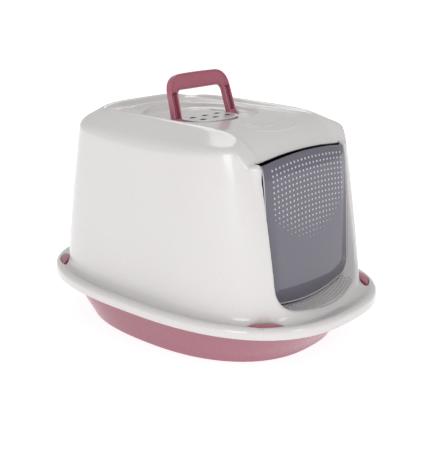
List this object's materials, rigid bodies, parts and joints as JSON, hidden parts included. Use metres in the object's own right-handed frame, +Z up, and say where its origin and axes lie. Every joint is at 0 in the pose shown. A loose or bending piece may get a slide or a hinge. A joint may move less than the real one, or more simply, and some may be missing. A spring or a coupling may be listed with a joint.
{
  "type": "cat litter box with hood",
  "caption": "Oval covered cat litter box: tray, lift-off hood with rolled flange, smoked swing door, folding carry handle, press-in rim clips and a vented filter lid.",
  "frame": {"origin": "on the floor, under the middle of the tray's underside and of the whole outline", "axes": "+Z up, the door faces -Y, length along Y, width along X"},
  "size_m": [0.38, 0.54, 0.3916],
  "materials": {
    "tray_pink": "satin gloss moulded polypropylene",
    "accent_pink": "gloss moulded polypropylene",
    "hood_white": "gloss, faintly speckled moulded polypropylene",
    "smoke_clear": "clear smoked polystyrene with small raised dots",
    "filter_black": "open-cell carbon foam"
  },
  "bodies": {
    "tray": {"tray": "tray_pink"},
    "hood": {"hood": "hood_white", "carbon_filter": "filter_black"},
    "door": {"door": "smoke_clear"},
    "handle": {"handle": "accent_pink"},
    "vent_lid": {"vent_lid": "hood_white"},
    "clip_front_left": {"snap_clip_front_left": "accent_pink"},
    "clip_front_right": {"snap_clip_front_right": "accent_pink"},
    "clip_rear_left": {"snap_clip_rear_left": "accent_pink"},
    "clip_rear_right": {"snap_clip_rear_right": "accent_pink"}
  },
  "joints": [
    {"name": "hood_lift", "type": "slide", "parent": "tray", "child": "hood", "axis": [0, 0, 1], "range_m": [0, 0.12]},
    {"name": "door_swing", "type": "hinge", "parent": "hood", "child": "door", "pos_m": [0, -0.178, 0.276], "axis": [1, 0, 0], "range_deg": [-75, 75]},
    {"name": "handle_fold", "type": "hinge", "parent": "hood", "child": "handle", "pos_m": [0, 0.008, 0.32], "axis": [1, 0, 0], "range_deg": [-65, 16]},
    {"name": "lid_lift", "type": "slide", "parent": "hood", "child": "vent_lid", "axis": [0, 0, 1], "range_m": [0, 0.02]},
    {"name": "clip_press_front_left", "type": "hinge", "parent": "tray", "child": "clip_front_left", "pos_m": [-0.124, -0.211, 0.063], "axis": [-0.6884, 0.7254, 0], "range_deg": [0, 10], "stiffness_Nm_per_rad": 0.6},
    {"name": "clip_press_front_right", "type": "hinge", "parent": "tray", "child": "clip_front_right", "pos_m": [0.124, -0.211, 0.063], "axis": [-0.6884, -0.7254, 0], "range_deg": [0, 10], "stiffness_Nm_per_rad": 0.6},
    {"name": "clip_press_rear_left", "type": "hinge", "parent": "tray", "child": "clip_rear_left", "pos_m": [-0.124, 0.211, 0.063], "axis": [0.6884, 0.7254, 0], "range_deg": [0, 10], "stiffness_Nm_per_rad": 0.6},
    {"name": "clip_press_rear_right", "type": "hinge", "parent": "tray", "child": "clip_rear_right", "pos_m": [0.124, 0.211, 0.063], "axis": [0.6884, -0.7254, 0], "range_deg": [0, 10], "stiffness_Nm_per_rad": 0.6}
  ]
}
